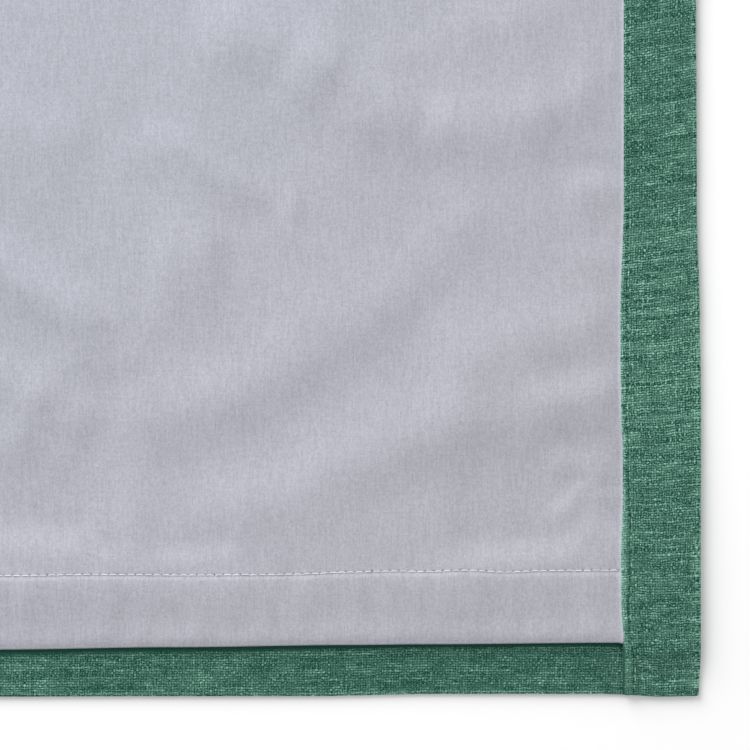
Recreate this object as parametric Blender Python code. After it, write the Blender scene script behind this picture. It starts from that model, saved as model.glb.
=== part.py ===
"""A short lined blackout curtain, lying face down on a flat surface with its lining up.

It is two cut pieces. The face cloth has its lower edge, its top and both sides turned
to the back as hems. The lining has its own hem turned under along its lower edge, and
its sides and top are held under the turned sides and top of the face cloth.

Metres. +Z is up, +Y runs towards the heading, and the underside lies at z = 0.
"""

from collections import namedtuple
from math import cos, exp, hypot, pi, sin

import bmesh
import bpy

WIDTH = 0.864
DROP = 0.914

CLOTH = 0.0010
LAYER_GAP = 0.00035
PLY = CLOTH + LAYER_GAP

BOTTOM_HEM = 0.060
HEADING = 0.040
SIDE_HEM = 0.030

LINING_HEM = 0.030
LINING_SIDE_TUCK = 0.015
LINING_TOP_TUCK = 0.025

# Steps round a turn, and the spacing of the lining's lines: closer over the finer folds
# near the lower right corner, wider over the broad ones of the rest.
TURN_STEPS = 6
NEAR_FOLDS = 0.285
NEAR_PITCH = 0.0098
FAR_PITCH = 0.0228

GREEN = (0.062, 0.180, 0.135, 1.0)
LILAC_GREY = (0.470, 0.474, 0.533, 1.0)

# The unevenness of both sides. Each row is a height above the lower edge: how far the
# outline swells there past its true width, and how much wider the turned hem is.
SideRow = namedtuple("SideRow", "up right_swell right_hem left_swell left_hem")
SIDES = (
    SideRow(0.000, 0.0005, 0.0005, 0.0003, 0.0000),
    SideRow(0.018, 0.0012, 0.0012, 0.0008, 0.0006),
    SideRow(0.068, 0.0012, 0.0017, 0.0011, 0.0012),
    SideRow(0.110, 0.0015, 0.0017, 0.0006, 0.0014),
    SideRow(0.150, 0.0009, 0.0018, -0.0002, 0.0005),
    SideRow(0.200, -0.0003, -0.0007, -0.0006, -0.0004),
    SideRow(0.280, -0.0006, -0.0010, -0.0003, -0.0009),
    SideRow(0.400, 0.0004, 0.0003, 0.0009, 0.0006),
    SideRow(0.520, -0.0005, -0.0006, 0.0004, 0.0010),
    SideRow(0.650, 0.0006, 0.0008, -0.0007, -0.0005),
    SideRow(0.780, -0.0002, -0.0003, 0.0003, 0.0002),
    SideRow(0.914, 0.0000, 0.0000, 0.0000, 0.0000),
)

# The unevenness of the lower and upper edges. Each row is a distance in from the right
# side: how far the edge swells there, and how high the lining's lower edge lies.
EdgeRow = namedtuple("EdgeRow", "inboard lower_swell upper_swell lining_rise")
EDGES = (
    EdgeRow(0.000, 0.0000, 0.0000, 0.0202),
    EdgeRow(0.016, 0.0004, 0.0001, 0.0202),
    EdgeRow(0.032, -0.0002, 0.0004, 0.0202),
    EdgeRow(0.110, -0.0002, 0.0006, 0.0200),
    EdgeRow(0.140, 0.0004, 0.0002, 0.0197),
    EdgeRow(0.210, 0.0007, -0.0004, 0.0193),
    EdgeRow(0.280, 0.0009, -0.0005, 0.0187),
    EdgeRow(0.400, 0.0002, 0.0003, 0.0194),
    EdgeRow(0.520, -0.0006, 0.0007, 0.0203),
    EdgeRow(0.640, 0.0003, 0.0001, 0.0198),
    EdgeRow(0.760, 0.0007, -0.0006, 0.0190),
    EdgeRow(0.864, 0.0000, 0.0000, 0.0200),
)

# How many plies the side turns span, from the lower edge up. Near the lower edge they
# close over the bottom hem and the lining's hem, and at the top over the heading.
TurnRow = namedtuple("TurnRow", "up plies")
SIDE_TURN = (
    TurnRow(0.000, 3.0),
    TurnRow(0.016, 5.0),
    TurnRow(0.052, 5.0),
    TurnRow(0.064, 4.3),
    TurnRow(0.130, 2.0),
    TurnRow(DROP - 0.100, 2.0),
    TurnRow(DROP - 0.044, 5.0),
    TurnRow(DROP, 5.0),
)

# The lining's upper layer lies three plies up over its own hem, two over the end of the
# bottom hem, and one on the back of the face cloth. Each row is a distance in from the
# right side: where above the lining's lower edge the first fall starts, and its length.
FallRow = namedtuple("FallRow", "inboard start reach")
LINING_FALLS = (
    FallRow(0.030, 0.031, 0.009),
    FallRow(0.045, 0.033, 0.014),
    FallRow(0.070, 0.031, 0.010),
    FallRow(0.120, 0.032, 0.024),
    FallRow(0.180, 0.032, 0.024),
    FallRow(0.210, 0.031, 0.010),
    FallRow(0.250, 0.036, 0.012),
    FallRow(0.280, 0.037, 0.013),
    FallRow(0.340, 0.032, 0.024),
    FallRow(0.440, 0.031, 0.012),
    FallRow(0.560, 0.032, 0.024),
    FallRow(0.700, 0.035, 0.014),
    FallRow(0.834, 0.031, 0.009),
)
LAST_FALL = 0.043
LAST_REACH = 0.016

# The soft ridges of the lining. Each runs from one end to the other, as distances in
# from the right side and up from the lower edge, and bows towards the lower right. Its
# flank above the crest and the one below it have their own widths.
Ridge = namedtuple("Ridge", "inboard_a up_a inboard_b up_b bow above below height")
RIDGES = (
    Ridge(0.227, 0.274, 0.177, 0.261, 0.000, 0.016, 0.014, 0.0018),
    Ridge(0.183, 0.265, 0.125, 0.229, -0.002, 0.013, 0.017, 0.0034),
    Ridge(0.125, 0.230, 0.092, 0.232, 0.001, 0.012, 0.012, 0.0017),
    Ridge(0.091, 0.232, 0.058, 0.230, 0.002, 0.014, 0.016, 0.0024),
    Ridge(0.050, 0.241, 0.030, 0.254, 0.000, 0.010, 0.010, 0.0012),
    Ridge(0.215, 0.177, 0.192, 0.177, 0.000, 0.010, 0.016, 0.0013),
    Ridge(0.295, 0.179, 0.241, 0.148, 0.000, 0.010, 0.011, 0.0022),
    Ridge(0.295, 0.136, 0.240, 0.105, 0.000, 0.010, 0.014, 0.0023),
    Ridge(0.295, 0.225, 0.261, 0.222, 0.000, 0.014, 0.022, 0.0015),
    Ridge(0.225, 0.111, 0.161, 0.123, 0.001, 0.015, 0.017, 0.0018),
    Ridge(0.174, 0.126, 0.119, 0.168, 0.001, 0.020, 0.014, 0.0012),
    Ridge(0.123, 0.166, 0.084, 0.197, 0.000, 0.010, 0.010, 0.0007),
    Ridge(0.193, 0.075, 0.105, 0.108, 0.006, 0.016, 0.014, 0.0023),
    Ridge(0.115, 0.102, 0.079, 0.132, 0.000, 0.013, 0.012, 0.0013),
    Ridge(0.097, 0.137, 0.028, 0.155, 0.001, 0.015, 0.019, 0.0025),
    Ridge(0.091, 0.106, 0.030, 0.122, 0.001, 0.010, 0.010, 0.0018),
    Ridge(0.372, 0.152, 0.296, 0.176, 0.003, 0.015, 0.019, 0.0017),
    Ridge(0.380, 0.300, 0.236, 0.352, 0.010, 0.020, 0.024, 0.0019),
    Ridge(0.246, 0.356, 0.128, 0.432, 0.006, 0.018, 0.015, 0.0017),
    Ridge(0.214, 0.326, 0.120, 0.350, -0.004, 0.014, 0.018, 0.0014),
    Ridge(0.170, 0.456, 0.062, 0.462, 0.004, 0.015, 0.018, 0.0015),
    Ridge(0.476, 0.214, 0.404, 0.330, -0.008, 0.020, 0.023, 0.0017),
    Ridge(0.410, 0.322, 0.372, 0.412, 0.004, 0.016, 0.014, 0.0012),
    Ridge(0.556, 0.124, 0.452, 0.172, 0.008, 0.018, 0.015, 0.0018),
    Ridge(0.640, 0.108, 0.560, 0.162, 0.006, 0.022, 0.018, 0.0017),
    Ridge(0.700, 0.150, 0.618, 0.196, -0.004, 0.014, 0.018, 0.0014),
    Ridge(0.790, 0.096, 0.704, 0.132, 0.005, 0.016, 0.013, 0.0014),
    Ridge(0.806, 0.282, 0.686, 0.322, 0.010, 0.020, 0.024, 0.0018),
    Ridge(0.684, 0.318, 0.572, 0.384, 0.006, 0.022, 0.018, 0.0018),
    Ridge(0.680, 0.432, 0.540, 0.470, 0.010, 0.022, 0.020, 0.0018),
    Ridge(0.552, 0.462, 0.384, 0.552, 0.008, 0.020, 0.024, 0.0017),
    Ridge(0.284, 0.498, 0.160, 0.556, -0.006, 0.019, 0.017, 0.0016),
    Ridge(0.176, 0.548, 0.062, 0.594, -0.005, 0.017, 0.021, 0.0016),
    Ridge(0.800, 0.538, 0.640, 0.642, 0.008, 0.022, 0.018, 0.0016),
    Ridge(0.560, 0.612, 0.410, 0.690, 0.012, 0.021, 0.024, 0.0019),
    Ridge(0.404, 0.668, 0.276, 0.742, 0.006, 0.020, 0.017, 0.0016),
    Ridge(0.232, 0.702, 0.074, 0.800, 0.008, 0.019, 0.016, 0.0016),
    Ridge(0.794, 0.722, 0.660, 0.786, -0.006, 0.020, 0.018, 0.0015),
    Ridge(0.672, 0.776, 0.576, 0.822, -0.004, 0.016, 0.019, 0.0014),
)
RIDGE_FADE = 0.016
HEM_CLEARANCE = 0.006

# A line of the cut cloth: the side it is measured from, whether it lies in the flat
# middle, in the turn or in the turned flap, and how far along that stretch it is.
Line = namedtuple("Line", "side stretch at")


def clear_objects():
    for old in list(bpy.data.objects):
        bpy.data.objects.remove(old)


def ease(share):
    share = min(max(share, 0.0), 1.0)
    return share * share * (3.0 - 2.0 * share)


def read(rows, at, column):
    """A column of a table at one place, eased from row to row; rows start with their place."""
    if at <= rows[0][0]:
        return getattr(rows[0], column)
    for low, high in zip(rows, rows[1:]):
        if at <= high[0]:
            share = ease((at - low[0]) / (high[0] - low[0]))
            return getattr(low, column) * (1.0 - share) + getattr(high, column) * share
    return getattr(rows[-1], column)


def turned(line, radius, depth, height=0.0):
    """Distance in from a turned edge, and height, of a line on the layer at that height."""
    if line.stretch == "flat":
        return line.at, height
    if line.stretch == "flap":
        return line.at * depth, 2.0 * radius - height
    angle = pi * line.at
    layer_radius = radius - height
    return radius - layer_radius * sin(angle), radius - layer_radius * cos(angle)


def edge_lines(side, flap_marks, flat_marks):
    """The lines from a hem's free edge, round its turn, to the last flat one of that side."""
    flap = [Line(side, "flap", mark) for mark in sorted(flap_marks, reverse=True)]
    turn = [Line(side, "turn", 1.0 - step / TURN_STEPS) for step in range(TURN_STEPS + 1)]
    flat = [Line(side, "flat", mark) for mark in sorted(flat_marks)]
    return flap + turn + flat


def even_marks(start, end, pitch):
    """Places from start to end, both kept, as close to the pitch as they divide."""
    count = max(1, round((end - start) / pitch))
    return [start + (end - start) * step / count for step in range(count + 1)]


def swell(x, y):
    """Moves a point of the true rectangle out to the uneven outline."""
    up = y + DROP / 2
    inboard = WIDTH / 2 - x
    if x > 0.0:
        x += read(SIDES, up, "right_swell") * ease(2.0 * x / WIDTH)
    else:
        x -= read(SIDES, up, "left_swell") * ease(-2.0 * x / WIDTH)
    if y > 0.0:
        y += read(EDGES, inboard, "upper_swell") * ease(2.0 * y / DROP)
    else:
        y -= read(EDGES, inboard, "lower_swell") * ease(-2.0 * y / DROP)
    return x, y


def face_point(column, row):
    """Where a crossing of two lines of the face cloth lies: edges turned first, then sides."""
    if row.side > 0:
        inset, height = turned(row, PLY, HEADING)
    else:
        inset, height = turned(row, PLY / 2, BOTTOM_HEM)
    y = row.side * (DROP / 2 - CLOTH / 2 - inset)
    up = y + DROP / 2
    side = "right" if column.side > 0 else "left"
    hem = SIDE_HEM + read(SIDES, up, side + "_hem")
    radius = read(SIDE_TURN, up, "plies") * PLY / 2
    inset, height = turned(column, radius, hem, height)
    x = column.side * (WIDTH / 2 - CLOTH / 2 - inset)
    x, y = swell(x, y)
    return x, y, CLOTH / 2 + height


def face_lines():
    """The columns and rows of the face cloth's cut shape."""
    columns_in = (0.016, 0.036) + tuple(even_marks(0.090, WIDTH / 2, 0.070))
    right = edge_lines(1, (0.5, 1.0), columns_in)
    left = edge_lines(-1, (0.5, 1.0), columns_in[:-1])
    low_flat = (0.008, 0.016, 0.034, 0.052, BOTTOM_HEM)
    over_low_step = (0.070, 0.082, 0.095, 0.110)
    low_flap = [mark / BOTTOM_HEM for mark in low_flat]
    high_flat = (0.020, HEADING, 0.044, 0.058, 0.072, 0.086)
    high_flap = (0.5, 1.0)
    middle = tuple(even_marks(0.130, DROP / 2, 0.055))
    low = edge_lines(-1, low_flap, low_flat + over_low_step + middle)
    high = edge_lines(1, high_flap, high_flat + (0.100,) + middle[:-1])
    return left + right[::-1], low + high[::-1]


def ridge_rise(ridge, inboard, up):
    """How high one soft ridge lifts the lining at a place."""
    across = ridge.inboard_a - ridge.inboard_b
    rise = ridge.up_b - ridge.up_a
    length = hypot(across, rise)
    from_a = (ridge.inboard_a - inboard, up - ridge.up_a)
    along = (from_a[0] * across + from_a[1] * rise) / length
    share = along / length
    below = (from_a[0] * rise - from_a[1] * across) / length
    below -= ridge.bow * 4.0 * share * (1.0 - share)
    width = ridge.below if below > 0.0 else ridge.above
    fade = min(0.5 * length, 0.030)
    ends = ease(along / fade + 0.5) * ease((length - along) / fade + 0.5)
    return ridge.height * ends * exp(-(below / width) ** 2)


def lining_rise(inboard, up):
    """All ridges together, fading out towards the hems that hold the lining down."""
    from_side = min(inboard, WIDTH - inboard) - SIDE_HEM - HEM_CLEARANCE
    from_end = min(up - BOTTOM_HEM - 0.004, DROP - HEADING - up)
    free = ease(min(from_side, from_end) / RIDGE_FADE)
    if free == 0.0:
        return 0.0
    return free * sum(ridge_rise(ridge, inboard, up) for ridge in RIDGES)


def lining_point(inboard, row):
    """Where a crossing of the lining's lines lies: its hem is turned under, then it is laid."""
    if row.side > 0:
        y = DROP / 2 - HEADING + LINING_TOP_TUCK - row.at
        run = BOTTOM_HEM + DROP / 2 + y
        drop = 0.0
    else:
        run, drop = turned(row, PLY / 2, LINING_HEM)
        y = read(EDGES, inboard, "lining_rise") + CLOTH / 2 + run - DROP / 2
    ply, rise = 3.0, 0.0
    if row.stretch == "flat":
        start = read(LINING_FALLS, inboard, "start")
        ply -= ease((run - start) / read(LINING_FALLS, inboard, "reach"))
        ply -= ease((run - LAST_FALL) / LAST_REACH)
        rise = lining_rise(inboard, y + DROP / 2)
    x, y = swell(WIDTH / 2 - inboard, y)
    return x, y, CLOTH / 2 + ply * PLY - drop + rise


def lining_lines():
    """The columns, as distances in from the right side, and the rows of the lining."""
    near = even_marks(LINING_SIDE_TUCK, NEAR_FOLDS, NEAR_PITCH)
    far = even_marks(NEAR_FOLDS, WIDTH - LINING_SIDE_TUCK, FAR_PITCH)
    over_hems = (0.016, LINING_HEM + 0.001, 0.035, 0.039, 0.044, 0.051, 0.058)
    low_marks = over_hems + tuple(even_marks(0.070, NEAR_FOLDS - 0.025, NEAR_PITCH))
    low = edge_lines(-1, (0.5, 1.0), low_marks)
    length = DROP - HEADING + LINING_TOP_TUCK - 0.020
    high_marks = (0.0,) + tuple(even_marks(LINING_TOP_TUCK, length - NEAR_FOLDS, FAR_PITCH))
    high = [Line(1, "flat", mark) for mark in high_marks]
    return near + far[1:], low + high[::-1]


def cloth_material(name, colour, roughness):
    material = bpy.data.materials.new(name)
    material.use_nodes = True
    shader = material.node_tree.nodes["Principled BSDF"]
    shader.inputs["Base Color"].default_value = colour
    shader.inputs["Roughness"].default_value = roughness
    shader.inputs["Metallic"].default_value = 0.0
    return material


def make_sheet(name, columns, rows, point, material):
    """A grid of the cut cloth's lines, laid where they fall, and given its thickness.

    Each cell is split along its shorter diagonal, which runs along a ridge, not over it.
    """
    sheet = bmesh.new()
    last_column, last_row = len(columns) - 1, len(rows) - 1
    bmesh.ops.create_grid(sheet, x_segments=last_column, y_segments=last_row, size=1.0)
    for vert in sheet.verts:
        column = columns[round((vert.co.x + 1.0) / 2.0 * last_column)]
        row = rows[round((vert.co.y + 1.0) / 2.0 * last_row)]
        vert.co = point(column, row)
    bmesh.ops.triangulate(sheet, faces=sheet.faces, quad_method="SHORT_EDGE")
    mesh = bpy.data.meshes.new(name)
    sheet.to_mesh(mesh)
    sheet.free()
    mesh.shade_smooth()
    mesh.materials.append(material)
    cloth = bpy.data.objects.new(name, mesh)
    bpy.context.scene.collection.objects.link(cloth)
    thicken = cloth.modifiers.new("thickness", "SOLIDIFY")
    thicken.thickness = CLOTH
    thicken.offset = 0.0
    thicken.use_even_offset = True
    thicken.use_rim = True
    return cloth


def make_face_cloth():
    columns, rows = face_lines()
    material = cloth_material("green slub cloth", GREEN, 0.9)
    return make_sheet("face_cloth", columns, rows, face_point, material)


def make_lining():
    inboards, rows = lining_lines()
    material = cloth_material("lilac grey lining", LILAC_GREY, 0.75)
    return make_sheet("lining", inboards[::-1], rows, lining_point, material)


clear_objects()
make_face_cloth()
make_lining()
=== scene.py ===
from collections import namedtuple
from math import radians

import bmesh
import bpy
import numpy as np
from mathutils import Matrix, Vector, noise


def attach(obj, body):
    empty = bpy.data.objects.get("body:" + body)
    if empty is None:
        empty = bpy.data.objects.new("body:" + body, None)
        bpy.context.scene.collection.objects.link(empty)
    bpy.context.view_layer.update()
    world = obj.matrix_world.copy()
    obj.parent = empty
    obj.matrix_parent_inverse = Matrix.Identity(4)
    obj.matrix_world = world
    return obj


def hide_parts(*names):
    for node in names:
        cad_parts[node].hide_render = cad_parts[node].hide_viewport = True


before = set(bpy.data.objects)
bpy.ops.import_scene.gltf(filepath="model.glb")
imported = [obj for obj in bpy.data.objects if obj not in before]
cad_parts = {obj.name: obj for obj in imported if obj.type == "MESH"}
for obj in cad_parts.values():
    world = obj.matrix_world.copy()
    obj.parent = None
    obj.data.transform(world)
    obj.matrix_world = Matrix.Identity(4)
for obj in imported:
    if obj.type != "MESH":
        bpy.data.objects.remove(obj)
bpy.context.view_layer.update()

# The face cloth: one length of green slubby cloth, a plain weave of thick and thin yarns.
# Its lower edge and top are turned to the back first, then both sides are turned over
# them, and the seam that holds the lining leaves a soft roll along each turned side.

WIDTH = 0.864
DROP = 0.914
PLY = 0.00095
BACK = 0.0005
FACE_THICKNESS = 0.0006
BOTTOM_HEM = 0.060
HEADING = 0.040
SIDE_HEM = 0.030
EDGE_ROLL = 0.00042
ROLL_CREST = 0.00060
STITCH_GROOVE = 0.00018
HEM_SPARE = 0.003

# The seams: the length of a stitch, and how far in from its edge the heading is sewn.
STITCH_PITCH = 0.0035
HEADING_SEAM = 0.0026

# The unevenness of both sides, by height above the lower edge: how far the outline
# swells past its true width, and how much wider the turned hem is.
SideRow = namedtuple("SideRow", "up right_swell right_hem left_swell left_hem")
SIDES = (
    SideRow(0.000, 0.0005, 0.0005, 0.0003, 0.0000),
    SideRow(0.018, 0.0012, 0.0012, 0.0008, 0.0006),
    SideRow(0.040, 0.0012, 0.0019, 0.0010, 0.0010),
    SideRow(0.058, 0.0012, 0.0019, 0.0011, 0.0012),
    SideRow(0.078, 0.0013, 0.0013, 0.0010, 0.0012),
    SideRow(0.098, 0.0014, 0.0014, 0.0008, 0.0013),
    SideRow(0.118, 0.0014, 0.0022, 0.0006, 0.0014),
    SideRow(0.150, 0.0009, 0.0018, -0.0002, 0.0005),
    SideRow(0.200, -0.0003, -0.0007, -0.0006, -0.0004),
    SideRow(0.280, -0.0006, -0.0010, -0.0003, -0.0009),
    SideRow(0.400, 0.0004, 0.0003, 0.0009, 0.0006),
    SideRow(0.520, -0.0005, -0.0006, 0.0004, 0.0010),
    SideRow(0.650, 0.0006, 0.0008, -0.0007, -0.0005),
    SideRow(0.780, -0.0002, -0.0003, 0.0003, 0.0002),
    SideRow(0.914, 0.0000, 0.0000, 0.0000, 0.0000),
)

# The unevenness of the lower and upper edges, by distance in from the right side: how
# far the edge swells, and how high the lining's lower edge lies.
EdgeRow = namedtuple("EdgeRow", "inboard lower_swell upper_swell lining_rise")
EDGES = (
    EdgeRow(0.000, 0.0005, 0.0000, 0.0202),
    EdgeRow(0.016, 0.0008, 0.0001, 0.0202),
    EdgeRow(0.029, 0.0001, 0.0003, 0.0202),
    EdgeRow(0.034, -0.0002, 0.0004, 0.0205),
    EdgeRow(0.110, -0.0002, 0.0006, 0.0199),
    EdgeRow(0.140, 0.0007, 0.0002, 0.0205),
    EdgeRow(0.210, 0.0007, -0.0004, 0.0196),
    EdgeRow(0.280, 0.0009, -0.0005, 0.0188),
    EdgeRow(0.400, 0.0002, 0.0003, 0.0194),
    EdgeRow(0.520, -0.0006, 0.0007, 0.0203),
    EdgeRow(0.640, 0.0003, 0.0001, 0.0198),
    EdgeRow(0.760, 0.0007, -0.0006, 0.0190),
    EdgeRow(0.864, 0.0000, 0.0000, 0.0200),
)

# How many plies the side turns span, from the lower edge up: over the bottom hem and
# the lining's hem below, over the lining alone, and over the heading at the top.
TurnRow = namedtuple("TurnRow", "up plies")
SIDE_TURN = (
    TurnRow(0.000, 3.0),
    TurnRow(0.016, 4.4),
    TurnRow(0.052, 4.4),
    TurnRow(0.064, 3.9),
    TurnRow(0.130, 2.7),
    TurnRow(DROP - 0.100, 2.7),
    TurnRow(DROP - 0.044, 4.8),
    TurnRow(DROP, 4.8),
)

# How the side hems are pulled: how far the seam lies from their inner edge, how much of
# a roll the hem makes there, and the slope of the weft, uphill to the right where dragged.
PullRow = namedtuple("PullRow", "up groove roll slope")
HEM_PULL = (
    PullRow(0.000, 0.0042, 1.00, 0.02),
    PullRow(0.016, 0.0039, 1.00, 0.03),
    PullRow(0.024, 0.0026, 0.90, 0.01),
    PullRow(0.036, 0.0025, 0.90, 0.03),
    PullRow(0.046, 0.0033, 0.90, 0.04),
    PullRow(0.066, 0.0032, 0.70, 0.05),
    PullRow(0.076, 0.0023, 0.50, 0.06),
    PullRow(0.095, 0.0018, 0.30, 0.08),
    PullRow(0.112, 0.0018, 0.20, 0.09),
    PullRow(0.124, 0.0026, 0.20, 0.10),
    PullRow(0.156, 0.0025, 0.20, 0.12),
    PullRow(0.170, 0.0019, 0.15, 0.13),
    PullRow(0.200, 0.0017, 0.15, 0.15),
    PullRow(0.240, 0.0016, 0.15, 0.17),
    PullRow(0.420, 0.0020, 0.20, 0.12),
    PullRow(0.600, 0.0024, 0.30, 0.05),
    PullRow(0.914, 0.0020, 0.20, 0.08),
)

# A line of the cut cloth: its side, its stretch of the cloth, and its place on it. The
# flat stretch counts from the outer edge, a flap from its own free edge.
Line = namedtuple("Line", "side stretch at")


def read(rows, at, column):
    """A column of a table at many places, eased from row to row."""
    places = np.array([row[0] for row in rows])
    values = np.array([getattr(row, column) for row in rows])
    at = np.clip(at, places[0], places[-1])
    index = np.clip(np.searchsorted(places, at, side="right") - 1, 0, len(rows) - 2)
    share = ease((at - places[index]) / (places[index + 1] - places[index]))
    return values[index] * (1.0 - share) + values[index + 1] * share


def ease(share):
    share = np.clip(share, 0.0, 1.0)
    return share * share * (3.0 - 2.0 * share)


def bump(offset, width):
    """A soft ridge of height 1 across its line."""
    return np.exp(-(offset / width) ** 2)


def drift(x, y, size, seed):
    """Smooth unevenness from -1 to 1 over patches of about that size."""
    places = np.broadcast(x, y)
    values = [noise.noise((a / size, b / size, seed)) for a, b in places]
    return np.array(values).reshape(places.shape)


def hem_roll(from_edge, groove):
    """The soft roll between a hem's free edge and its seam, and the groove of the seam."""
    crest = ROLL_CREST * bump(from_edge - 0.45 * groove, 0.42 * groove)
    return crest - STITCH_GROOVE * bump(from_edge - groove, 0.0006)


def swell(x, y):
    """Moves points of the true rectangle out to the uneven outline."""
    up, inboard = y + DROP / 2, WIDTH / 2 - x
    right = read(SIDES, up, "right_swell") * ease(2.0 * x / WIDTH)
    left = read(SIDES, up, "left_swell") * ease(-2.0 * x / WIDTH)
    upper = read(EDGES, inboard, "upper_swell") * ease(2.0 * y / DROP)
    lower = read(EDGES, inboard, "lower_swell") * ease(-2.0 * y / DROP)
    return x + right - left, y + upper - lower


def turned(line, radius, depth, height, groove=HEADING_SEAM, sewn=1.0):
    """Distance in from a turned edge, and height, of a line on the layer at that height."""
    if line.stretch == "flat":
        return line.at + 0.0 * height, height
    if line.stretch == "turn":
        angle = np.pi * line.at
        layer_radius = radius - height
        return radius - layer_radius * np.sin(angle), radius - layer_radius * np.cos(angle)
    inner = np.clip(height / PLY, 0.0, 1.0)
    free_edge = depth - BACK - 0.003 * inner
    roll = EDGE_ROLL * (1.0 - 0.7 * inner)
    top = 2.0 * radius - height
    if line.stretch == "roll":
        angle = np.pi * line.at
        crest = sewn * hem_roll(0.0, groove) * (1.0 - inner)
        return free_edge - roll + roll * np.sin(angle), top + crest - roll * (1.0 - np.cos(angle))
    return free_edge - line.at, top + sewn * hem_roll(line.at, groove) * (1.0 - inner)


def edge_lines(side, roll_steps, flap_marks, turn_steps, flat_marks):
    """A side's lines, from the hem's free edge round its turn to the last flat one."""
    roll = [Line(side, "roll", step / roll_steps) for step in range(roll_steps, 0, -1)]
    flap = [Line(side, "flap", mark) for mark in flap_marks]
    turn = [Line(side, "turn", step / turn_steps) for step in range(turn_steps, -1, -1)]
    flat = [Line(side, "flat", mark) for mark in flat_marks]
    return roll + flap + turn + flat


def even_marks(start, end, pitch):
    """Places from start to end, both kept, as close to the pitch as they divide."""
    return list(np.linspace(start, end, max(1, round((end - start) / pitch)) + 1))


# The lines of the cloth, close beside the seams and up to the end of the corner.
SIDE_MARKS = (0.0005, 0.0010, 0.0014, 0.0018, 0.0022, 0.0026, 0.0030, 0.0035, 0.0041, 0.0048)
SIDE_MARKS += (0.0056, 0.0066, 0.0080, 0.0100, 0.0125, 0.0150, 0.0180, 0.0210, 0.0240)
side_flats = (0.0060, 0.0100, 0.0160, 0.0260, 0.0400) + tuple(even_marks(0.070, WIDTH / 2, 0.040))
face_columns = edge_lines(-1, 6, SIDE_MARKS, 8, side_flats[:-1])
face_columns += edge_lines(1, 6, SIDE_MARKS, 8, side_flats)[::-1]

fine_rows = even_marks(0.0025, 0.290, 0.0016)
coarse_rows = even_marks(0.290, DROP - 0.046, 0.006)[1:]
lower_flap = (0.0, 0.008, 0.014, 0.022, 0.030) + tuple(even_marks(0.036, 0.058, 0.0022))
face_rows = edge_lines(-1, 0, lower_flap, 8, fine_rows + coarse_rows)
heading_marks = (0.0005, 0.0010, 0.0016, 0.0022, 0.0028, 0.0036, 0.0050)
heading_marks += tuple(even_marks(0.008, 0.036, 0.004))
face_rows += edge_lines(1, 6, heading_marks, 8, (0.006, 0.014, 0.022, 0.030, 0.038, 0.042))[::-1]


def lengthwise(row):
    """Up, height and cut place of one crosswise line, once the edge it is near is turned."""
    if row.side > 0:
        radius, depth, sewn = PLY, HEADING, 1.0
    else:
        radius, depth, sewn = PLY / 2, BOTTOM_HEM, 0.0
    inset, height = turned(row, radius, depth, 0.0, sewn=sewn)
    if row.stretch == "flat":
        spare = 0.0
    elif row.stretch == "turn":
        spare = inset + np.pi * radius * row.at
    else:
        spare = inset + np.pi * radius + (depth - row.at if row.stretch == "flap" else depth)
    return DROP / 2 + row.side * (DROP / 2 - BACK - inset), height, row.side * spare


def side_place(line, up, height):
    """Where points of one lengthwise line lie, and their place on the cut cloth."""
    name = "right" if line.side > 0 else "left"
    radius = read(SIDE_TURN, up, "plies") * PLY / 2
    depth = SIDE_HEM + read(SIDES, up, name + "_hem")
    groove, roll = read(HEM_PULL, up, "groove"), read(HEM_PULL, up, "roll")
    inset, height = turned(line, radius, depth, height, groove, roll)
    x = line.side * (WIDTH / 2 - BACK - inset)
    if line.stretch == "flat":
        return x, height, line.side * (WIDTH / 2 - inset), 0.0, 1.0
    drag = read(HEM_PULL, up, "slope") * inset
    if line.stretch == "turn":
        cut = WIDTH / 2 + np.pi * PLY * line.at
        return x, height, line.side * cut, line.side * drag, 1.0
    hem_end = WIDTH / 2 + HEM_SPARE + SIDE_HEM
    if line.stretch == "flap":
        from_edge, cut = line.at, hem_end - line.at
    else:
        from_edge, cut = 0.0, hem_end + EDGE_ROLL * np.pi * line.at
    drag = drag + 0.2 * roll * np.maximum(groove - from_edge, 0.0)
    return x, height, line.side * cut, line.side * drag, from_edge - groove


# How far the rounded lower edge of the lining reaches below its first line, and how
# much flatter the layers are pressed at both lower corners.
FOLD_REACH = 0.0008
CORNER_PRESS = 0.46


def make_face_cloth():
    """The folded sheet: a flat grid whose lines are laid where the turns take them."""
    row_up, row_height, row_spare = (np.array(v) for v in zip(*map(lengthwise, face_rows)))
    shape = (len(face_rows), len(face_columns))
    x, z, cut_u, cut_v, seam_v = (np.empty(shape) for _ in range(5))
    for index, line in enumerate(face_columns):
        laid = side_place(line, row_up, row_height)
        x[:, index], z[:, index], cut_u[:, index], drag, seam_v[:, index] = laid
        cut_v[:, index] = row_up - DROP / 2 + row_spare + drag
    lining_rise = read(EDGES, WIDTH / 2 - x, "lining_rise")
    seam_u = row_up[:, None] - lining_rise - FOLD_REACH
    y = np.broadcast_to(row_up[:, None] - DROP / 2, shape)
    on_top = ease((z - 0.0004) / 0.0004)
    z = z + on_top * 0.00022 * drift(x, y, 0.016, 3.0)
    z = z + on_top * 0.00012 * drift(x, y, 0.006, 7.0)
    near_side = 1.0 - ease((WIDTH / 2 - abs(x) - 0.022) / 0.012)
    near_end = 1.0 - ease((y + DROP / 2 - 0.008) / 0.014)
    z = z * (1.0 - CORNER_PRESS * (near_side * near_end))
    x, y = swell(x, y)
    places = (x, y, z + BACK)
    return cloth_piece("face_cloth_sheet", places, (cut_u, cut_v), (seam_u, seam_v), FACE_THICKNESS)


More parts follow.
